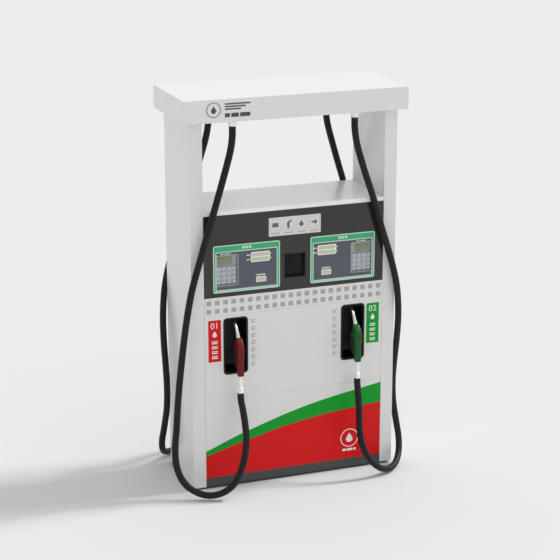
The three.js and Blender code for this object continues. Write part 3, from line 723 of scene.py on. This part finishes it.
@build("displays", "Displays", "Makes the display overlays, screens and captions")
def displays():
    film = sizes().film
    screens = {"left": (-207, -203), "right": (190.5, 187.5)}
    for side, hand, name in pairs():
        rounded_copy(name + "_display_unit", bezel_print(), 0.6)
        x, out, z = span(f"front_{hand}_display_unit")
        lip, centre = out[1], middle(x)
        above = (lip - SEAT, lip + film)

        def line(label, px, pz, corner, band):
            bm = bmesh.new()
            ring(bm, px, pz, above, corner, band)
            make(f"{name}_{label}", bm, outline_print(), side=side)

        bm = bmesh.new()
        slab(bm, (x[0] + 12, x[1] - 12), above, (z[0] + 7.6, z[0] + 10.4))
        make(name + "_foot_line", bm, outline_print(), side=side)
        line("outer_line", (x[0] + 0.8, x[1] - 0.8), (z[0] + 0.8, z[1] - 0.8), 11, 5.4)
        inner = about(centre, 181), (z[0] + 13, z[1] - 37)
        line("inner_line", (inner[0][0] - 1, inner[0][1] + 1), (inner[1][0] - 1, inner[1][1] + 1), 6, 5)

        pocket = pocket_spans(span(f"front_{hand}_keypad"))
        bm = bmesh.new()
        corners = [(inner[0][0] + 4, inner[1][0] + 4), (inner[0][1] - 4, inner[1][0] + 4),
                   (inner[0][1] - 4, inner[1][1] - 4), (inner[0][0] + 4, inner[1][1] - 4)]
        bm.faces.new([bm.verts.new(at(px, 0, pz)) for px, pz in corners])
        for plane_at, across in ((at(pocket[0][0], 0, 0), (1, 0, 0)), (at(pocket[0][1], 0, 0), (1, 0, 0)),
                                 (at(0, 0, pocket[1][0]), (0, 0, 1)), (at(0, 0, pocket[1][1]), (0, 0, 1))):
            bmesh.ops.bisect_plane(bm, geom=bm.verts[:] + bm.edges[:] + bm.faces[:], plane_co=plane_at,
                                   plane_no=across)
        hole = [f for f in bm.faces if abs(f.calc_center_median().x - middle(pocket[0])) < 60
                and abs(f.calc_center_median().z - middle(pocket[1])) < 80]
        bmesh.ops.delete(bm, geom=hole, context="FACES")
        thicken(bm, bm.faces[:], (lip - SEAT, lip + film * 0.7))
        make(name + "_field", bm, field_print(), side=side)

        bm = bmesh.new()
        ring(bm, (pocket[0][0] - 3, pocket[0][1] + 3), (pocket[1][0] - 3, pocket[1][1] + 3),
             (lip, lip + 0.9), 9, 3.2)
        make(name + "_pocket_rim", bm, grey_print_and_crease_shade(), side=side)

        big, small = screens[hand]
        bm, glass, caption = bmesh.new(), bmesh.new(), bmesh.new()
        slab(bm, about(big, 57), (lip, lip + 1.6), (1318, 1376), corner=10, edge=0.7)
        slab(bm, about(small, 30), (lip, lip + 1.4), (1201, 1232), corner=5, edge=0.6)
        for low in (1323.5, 1349.5):
            slab(glass, about(big, 51), (lip + 1.5, lip + 1.9), (low, low + 21), corner=3)
        slab(glass, about(small, 26), (lip + 1.3, lip + 1.7), (1205, 1228), corner=2)
        make(name + "_screen_frames", bm, moulded_white(), side=side)
        make(name + "_screens", glass, screen_glass(), side=side)

        mark = (lip, lip + film + 0.1)
        for low in (1331, 1357):
            bars(caption, (big - 80, big - 64), (low, low + 7), mark, [[(0.45, 1), (0.1, 0), (0.45, 1)]], 0)
            bars(caption, (big + 60, big + 66), (low + 1, low + 5), mark, [[(1, 1)]], 0)
        bars(caption, (small - 26, small + 24), (1238, 1246), mark,
             [[(0.2, 1), (0.06, 0), (0.2, 1), (0.08, 0), (0.2, 1), (0.06, 0), (0.2, 1)]], 0)
        bars(caption, about(centre, 27), (z[1] - 28, z[1] - 14), mark,
             [[(0.28, 1), (0.08, 0), (0.28, 1), (0.08, 0), (0.28, 1)]] * 2, 2)
        bars(caption, (pocket[0][0] + 30, pocket[0][0] + 90), (pocket[1][1] + 7, pocket[1][1] + 11), mark,
             [[(0.3, 1), (0.05, 0), (0.65, 1)]], 0)
        make(name + "_captions", caption, white_print(), side=side)


@build("keypads", "Keypads", "Makes the keypads with their figures and small screens")
def keypads():
    layout = ["123A", "456B", "789C", "-0.="]
    for side, hand, name in pairs():
        x, out, z = span(f"front_{hand}_keypad")
        keys, mat, figures, screen = (bmesh.new() for _ in range(4))
        slab(mat, x, (out[0], out[0] + MAT), z, corner=5, edge=0.8)
        for row in range(4):
            for column in range(4):
                kx = middle(x) + (x[1] - x[0]) / 4 * (column - 1.5)
                kz = middle(z) + (z[1] - z[0]) / 4 * (1.5 - row)
                slab(keys, about(kx, KEY_HALF), (out[0] + MAT - 0.1, out[1]), about(kz, KEY_HALF), corner=2,
                     edge=0.8)
                mark, ink = layout[row][column], (out[1] - SEAT, out[1] + 0.2)
                if mark.isdigit():
                    digits(figures, mark, KEY_FIGURE, kx, kz, ink)
                else:
                    bars(figures, about(kx, 4), about(kz, 1), ink, [[(1, 1)]], 0)
        body = name + "_keypad"
        make(name + "_key_mat", mat, keypad_plate(), body, side, [body])
        make(name + "_keys", keys, brushed_keys(), body, side)
        make(name + "_key_figures", figures, dark_print(), body, side)
        floor = out[0] - 2.0
        liner = bmesh.new()
        wide, tall = pocket_spans((x, out, z), LINER_INSET)
        slab(liner, wide, (floor, floor + 0.3), tall, corner=6)
        ring(liner, wide, tall, (floor + 0.3, FACE + 2.95), 6, LINER_INSET)
        make(name + "_pocket_liner", liner, keypad_plate(), side=side)
        sx = middle(x) + 4 * HANDS[hand]
        slab(screen, about(sx, 42), (floor + 0.3, floor + 3), (z[1] + 8, z[1] + 52), corner=3, edge=0.6)
        make(name + "_entry_screen", screen, entry_glass(), side=side)


@build("centre", "Sign and window", "Makes the sign plate with its pictograms and the centre window")
def centre():
    film = sizes().film
    left, right = -156, 153
    for side in SIDES:
        bm = bmesh.new()
        slab(bm, (left, right), (FACE + 0.05, FACE + 1.2), (1453, 1559), corner=4, edge=0.4)
        make(f"{side}_sign_plate", bm, sign_enamel(), side=side)
        cells, drawn = bmesh.new(), bmesh.new()
        deep = (FACE + 1.15, FACE + 1.2 + film)
        for i in range(4):
            x = left + (right - left) * (i + 0.5) / 4
            ring(cells, about(x, 32), (1484, 1548), deep, 5, 1.4)
            bars(cells, about(x, 24), (1464, 1472), deep,
                 [[(0.22, 1), (0.06, 0), (0.3, 1), (0.06, 0), (0.36, 1)]], 0)
            if i == 0:
                plate(drawn, [(x - 18, 1504), (x + 18, 1504), (x + 18, 1528), (x - 18, 1528)], deep)
            elif i == 1:
                plate(drawn, [(x - 5, 1492), (x + 5, 1492), (x + 8, 1524), (x + 20, 1534), (x + 16, 1540),
                              (x - 2, 1532), (x - 10, 1520)], deep)
            elif i == 2:
                droplet(drawn, x, 1510, 13, deep)
            else:
                plate(drawn, [(x - 18, 1511), (x + 2, 1511), (x + 2, 1500), (x + 20, 1516), (x + 2, 1532),
                              (x + 2, 1521), (x - 18, 1521)], deep)
        make(f"{side}_sign_cells", cells, grey_print_and_crease_shade(), side=side)
        make(f"{side}_sign_pictograms", drawn, sign_print(), side=side)
        window, rim = bmesh.new(), bmesh.new()
        slab(window, about(0, 56), (FACE - 15.5, FACE - 13.5), (1211, 1338), corner=2, edge=0.3)
        make(f"{side}_window_back", window, window_black(), side=side)
        ring(rim, about(0, 63), (1204, 1345), (FACE + FILM_GAP, FACE + 0.8), 5, 4)
        make(f"{side}_window_rim", rim, moulded_black(), side=side)


# ---- Films on the casing ----
# The upper edges of the green band and of the red one below it, as (x, z) points.
BAND_STEPS = 72
BAND_TOP = [(-535.6, 229), (-529, 231), (-332, 308), (-277, 325), (-89, 385), (34, 419), (157, 447),
            (282, 471), (407, 492), (535.6, 513.5)]
BAND_FOOT = [(-535.6, 198.5), (-529, 200), (-332, 256.5), (-272, 269), (-89, 316), (34, 338), (158, 358),
             (283, 372), (409, 384), (535.6, 392)]


@build("films", "Films", "Applies the coloured bands, labels and marks")
def films():
    film = sizes().film
    skin = (FACE + FILM_GAP, FACE + film)
    over = (FACE + film - FILM_GAP, FACE + 2 * film)
    for side in SIDES:
        lower = f"{side}_lower_panel"
        foot = span("front_lower_panel")[2][0] + 0.5
        top, low = ([(p.x, p.z) for p in curve_through([at(x, 0, z) for x, z in line], BAND_STEPS)]
                    for line in (BAND_TOP, BAND_FOOT))
        bm = bmesh.new()
        plate(bm, low + top[::-1], skin)
        make(f"{side}_green_band", bm, vinyl_film("green"), lower, side)
        bm = bmesh.new()
        plate(bm, [(low[0][0], foot), (low[-1][0], foot)] + low[::-1], skin)
        make(f"{side}_red_band", bm, vinyl_film("red"), lower, side).visible_diffuse = False

        mark = bmesh.new()
        disc(mark, 342, 192, 56, over, 48, hole=51)
        droplet(mark, 342, 186, 21, over)
        bars(mark, (300, 384), (112, 126), over, [[(0.28, 1), (0.06, 0), (0.42, 1), (0.06, 0), (0.18, 1)]], 0)
        make(f"{side}_band_mark", mark, white_print(), lower, side)

        for hand, x, z, hue, slot, number in (
                ("left", (-515, -440), (759, 1003), "red", "sleeve_red", "01"),
                ("right", (439, 517), (762, 1002), "green", "display_plastic", "02")):
            bm, white = bmesh.new(), bmesh.new()
            slab(bm, x, skin, z, corner=2)
            make(f"{side}_{hand}_label", bm, vinyl_film(hue), side=side)
            cx, high = middle(x), z[1]
            digits(white, number, 36, cx, high - 34, over)
            droplet(white, cx, high - 86, 13, over)
            for k in range(4):
                low_z = high - 142 - 29 * k
                bars(white, about(cx, 17), (low_z, low_z + 20), over, [[(1, 1)], [(1, 1)]], 4)
            make(f"{side}_{hand}_label_print", white, white_print(), side=side)

        grey = bmesh.new()
        for x in ((-262, -234), (229, 258)):
            for k in range(7):
                high = 986 - k * 42
                bars(grey, x, (high - 26, high), skin, [[(1, 1)], [(0.7, 1)], [(0.85, 1)]], 4)
        make(f"{side}_notice_bars", grey, grey_print_and_crease_shade(), side=side)

        # A 1 mm grey strip along the middle panel's crease: painted shade of the fold.
        crease_strip = bmesh.new()
        slab(crease_strip, about(0, 534), (FACE + 0.01, FACE + 0.12), (1024.6, 1025.6))
        make(f"{side}_panel_crease", crease_strip, grey_print_and_crease_shade(), side=side)

        head = -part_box("header_box")[0].y * MM
        deep = (head + FILM_GAP, head + film)
        dark = bmesh.new()
        disc(dark, -485, 2193, 41, deep, 44, hole=37)
        droplet(dark, -485, 2188, 15, deep)
        bars(dark, (-422, -278), (2184, 2226), deep, [[(1, 1)], [(0.82, 1)], [(0.64, 1)]], 6)
        bars(dark, (-422, -278), (2150, 2172), deep,
             [[(0.2, 1), (0.05, 0), (0.3, 1), (0.05, 0), (0.4, 1)]], 0)
        make(f"{side}_header_mark", dark, dark_print(), side=side)


# ---- Holsters and nozzles ----
@build("holsters", "Holsters", "Makes the holster boots and their switch levers")
def holsters():
    for _, _, name in pairs():
        rounded_copy(name + "_holster", moulded_black(), 0.9, 3)
        rounded_copy(name + "_boot_lever", moulded_black(), 0.8)


GRIP_WIDTH, VALVE_WIDTH = 34, 37
SLOT_HALF = 7.6  # half the trigger slot's width
FITTING_FOOT = 2096.7  # height of the fittings' lower ends


def nozzle_points(hand, pairs_of_points):
    """Points behind the grip's centre line and above its foot, as places on that nozzle."""
    x, _, z = span(f"front_{hand}_nozzle_body")
    grip, foot = middle(span(f"front_{hand}_swivel")[1]), z[0]
    return [at(middle(x), grip - back, foot + rise) for back, rise in pairs_of_points]


def side_block(bm, points, width, edge, segments=4):
    """A side outline given its width across the nozzle, with moulded edges."""
    old = set(bm.verts)
    half = Vector((width / 2, 0, 0))
    face = bm.faces.new([bm.verts.new(p - half) for p in points])
    raised = bmesh.ops.extrude_face_region(bm, geom=[face])["geom"]
    bmesh.ops.translate(bm, vec=half * 2, verts=[g for g in raised if isinstance(g, bmesh.types.BMVert)])
    new = [v for v in bm.verts if v not in old]
    soften(bm, {e for v in new for e in v.link_edges if e.calc_face_angle(0) > 0.05}, edge, segments)


def carve(obj, x, out, z):
    """Cuts a box-shaped slot out of a piece."""
    bm = bmesh.new()
    slab(bm, x, out, z)
    bmesh.ops.scale(bm, vec=(1 / MM, 1 / MM, 1 / MM), verts=bm.verts)
    mesh = bpy.data.meshes.new("slot")
    bm.transform(SIDES["rear" if obj.name.startswith("rear") else "front"])
    bm.to_mesh(mesh)
    bm.free()
    cutter = bpy.data.objects.new("slot", mesh)
    bpy.context.scene.collection.objects.link(cutter)
    modifier = obj.modifiers.new("slot", "BOOLEAN")
    modifier.operation, modifier.object, modifier.solver = "DIFFERENCE", cutter, "EXACT"
    modifier.use_self = True
    evaluated = obj.evaluated_get(bpy.context.evaluated_depsgraph_get())
    cut = bpy.data.meshes.new_from_object(evaluated)
    if not cut.polygons:
        raise RuntimeError(f"the slot of {obj.name} left nothing")
    obj.modifiers.clear()
    obj.data = cut
    bpy.data.objects.remove(cutter)


@build("nozzles", "Nozzles", "Makes the nozzle sleeves, guards, spouts, triggers and swivels")
def nozzles():
    for side, hand, name in pairs():
        body = name + "_nozzle"
        sleeve = bmesh.new()
        grip = [(17, 0), (-17, 0), (-19, 60), (-18, 128), (20, 128), (19, 60)]
        valve = [(21, 105), (-18, 105), (-23, 140), (-22, 165), (-14, 185), (4, 203), (20, 218), (48, 202),
                 (42, 179), (42, 151)]
        side_block(sleeve, nozzle_points(hand, grip), GRIP_WIDTH, 6)
        side_block(sleeve, nozzle_points(hand, valve), VALVE_WIDTH, 7)
        line = curve_through(nozzle_points(
            hand, [(32, 175), (64, 175), (86, 156), (93, 113), (87, 61), (62, 25), (12, 13)]), 36)
        guard = bmesh.new()
        sweep(guard, line, [(8, 4)] * len(line), sides=14)
        make(name + "_nozzle_guard", guard, moulded_black(), body, side)
        cover = make(name + "_nozzle_sleeve", sleeve, sleeve_vinyl(hand), body, side,
                     [name + "_nozzle_body"], sharp=50)
        low, high = nozzle_points(hand, [(64, 125), (21, 165)])
        carve(cover, about(low.x, SLOT_HALF), (-low.y, -high.y), (low.z, high.z))

        spout = bmesh.new()
        line = curve_through(nozzle_points(
            hand, [(34.7, 211.2), (48, 235), (66, 260), (92, 281), (124, 298)]), 24)
        taper = [11.4 - 0.9 * min(1, i / 9) for i in range(len(line))]
        sweep(spout, line, [(r, r) for r in taper], sides=24)
        root, tip = nozzle_points(hand, [(34.4, 210.7), (45.4, 229.8)])
        axis = (tip - root).normalized()
        collar = [(0, 0), (13.5, 0), (13.5, 2), (12.2, 3.2), (12.4, 7), (11.8, 8), (12.1, 9), (11.6, 22),
                  (0, 22)]
        turn_profile(spout, collar, root, axis)
        make(name + "_spout_tube", spout, polished_metal(), body, side, [name + "_spout"])

        lever = bmesh.new()
        line = curve_through(nozzle_points(hand, [(36, 151), (48, 128), (54, 93), (49, 65), (41, 45)]), 26)
        sweep(lever, line, [(7, 3)] * len(line), sides=14)
        boss = [(0, -7), (5.4, -7), (6, -6.4), (6, 6.4), (5.4, 7), (0, 7)]
        turn_profile(lever, boss, line[0], (1, 0, 0), 28)
        make(name + "_trigger_lever", lever, lever_coat(hand), name + "_trigger", side,
             [name + "_trigger"])

        x, out, z = span(f"front_{hand}_swivel")
        low, high = z
        swivel = bmesh.new()
        profile = [(0, 0), (15.7, 0), (16.5, 0.8), (16.1, 10), (15.3, 11), (15.9, 12), (15.4, 24), (14.3, 25),
                   (14.2, 31), (11.5, 33), (9.5, 35), (9.5, 50), (10.4, 51), (10.4, 56), (9.5, 57), (9.5, 88),
                   (12.5, 89.5), (14.3, 98.6), (13.7, high - low), (0, high - low)]
        turn_profile(swivel, profile, at(middle(x), middle(out), low))
        make(name + "_swivel_joint", swivel, moulded_white(), name + "_swivel", side,
             [name + "_swivel"])


@build("fittings", "Hose fittings", "Makes the fittings where the hoses leave the header")
def fittings():
    for side, hand, name in pairs():
        x, out = (c * MM for c in ROUTES[hand][0][:2])
        base = at(x, out, FITTING_FOOT)
        bm = bmesh.new()
        profile = [(0, 0), (21.6, 0), (22.3, 0.7), (22.6, 8), (24.2, 9.4), (24.4, 18), (24.4, 25),
                   (23.4, 25.9), (0, 25.9)]
        turn_profile(bm, profile, base)
        make(name + "_hose_fitting", bm, moulded_white(), side=side)


@build("works", "Pump set", "Finishes the pump set, the meters and the pipes inside the cabinet")
def works():
    looks = {
        "motor": motor_enamel, "motor_pulley": sand_casting, "pump_pulley": sand_casting,
        "twin_pump": sand_casting, "left_meter": sand_casting, "right_meter": sand_casting,
        "valve_block": sand_casting, "control_box": plated_steel, "drive_belt": belt_rubber,
    }
    looks.update({name + "_supply_pipe": plated_steel for _, _, name in pairs()})
    for name, look in looks.items():
        obj = frame["nodes"][name]
        if not obj.material_slots:
            obj.data.materials.append(None)
        for place in obj.material_slots:
            place.material = look()


# ---- Stage ----
FLOOR_TONE = 0.66
SKY_BASE, SKY_RISE, SKY_LEAN = 0.5, 0.46, 0.14  # level, more overhead, more to the right
KEY_STRENGTH, KEY_SPREAD, KEY_HEIGHT, KEY_TURN = 2.1, 9, 46, 1.5  # the last three in degrees


@build("stage", "Stage", "Sets the floor, the sky and the soft key light")
def stage():
    scene = bpy.context.scene
    bm = bmesh.new()
    bmesh.ops.create_grid(bm, x_segments=2, y_segments=2, size=80)
    mesh = bpy.data.meshes.new("floor")
    bm.to_mesh(mesh)
    bm.free()
    mesh.materials.append(finish("studio floor", (FLOOR_TONE,) * 3, 0.85, tone=0.004, tone_mm=4000,
                                 relief_mm=0.001, specular=0.1))
    floor = bpy.data.objects.new("floor", mesh)
    floor.location.z = -0.0005
    scene.collection.objects.link(floor)
    world = bpy.data.worlds.new("studio")
    world.use_nodes = True
    tree = world.node_tree
    way = node(tree, "SeparateXYZ", {0: node(tree, "TexCoord").outputs["Generated"]})
    lean = node(tree, "Math", {0: way.outputs["X"], 1: SKY_LEAN, 2: SKY_BASE}, operation="MULTIPLY_ADD")
    level = node(tree, "Math", {0: way.outputs["Z"], 1: SKY_RISE, 2: lean.outputs[0]},
                 operation="MULTIPLY_ADD")
    sky = tree.nodes["Background"]
    sky.inputs["Color"].default_value = (0.995, 0.998, 1.01, 1)
    tree.links.new(level.outputs[0], sky.inputs["Strength"])
    scene.world = world
    data = bpy.data.lights.new("key", "SUN")
    data.energy, data.angle, data.color = KEY_STRENGTH, math.radians(KEY_SPREAD), (1.0, 0.995, 0.985)
    key = bpy.data.objects.new("key", data)
    high, turn = math.radians(KEY_HEIGHT), math.radians(KEY_TURN)
    towards = Vector((math.cos(high) * math.cos(turn), -math.cos(high) * math.sin(turn), math.sin(high)))
    key.rotation_mode = "QUATERNION"
    key.rotation_quaternion = towards.to_track_quat("Z", "Y")
    scene.collection.objects.link(key)
    scene.view_settings.view_transform = "Standard"


class DISPENSER_PT_sidebar(Panel):
    """Lists the dispenser's sizes, colours and building steps"""
    bl_label = "Dispenser"
    bl_space_type = "VIEW_3D"
    bl_region_type = "UI"
    bl_category = "Dispenser"

    def draw(self, context):
        for group in (context.scene.dispenser_sizes, context.scene.dispenser_colours):
            for name in group.__annotations__:
                self.layout.prop(group, name)
        for step in STEPS:
            self.layout.operator(step.bl_idname)


CLASSES = [DispenserColours, DispenserSizes, *STEPS, DISPENSER_PT_sidebar]


def register():
    for kind in CLASSES:
        bpy.utils.register_class(kind)
    bpy.types.Scene.dispenser_colours = PointerProperty(type=DispenserColours)
    bpy.types.Scene.dispenser_sizes = PointerProperty(type=DispenserSizes)


def unregister():
    del bpy.types.Scene.dispenser_sizes
    del bpy.types.Scene.dispenser_colours
    for kind in reversed(CLASSES):
        bpy.utils.unregister_class(kind)


def main():
    register()
    for step in STEPS:
        getattr(bpy.ops.dispenser, step.bl_idname.split(".")[1])()
    bpy.context.view_layer.update()


if __name__ == "__main__":
    main()
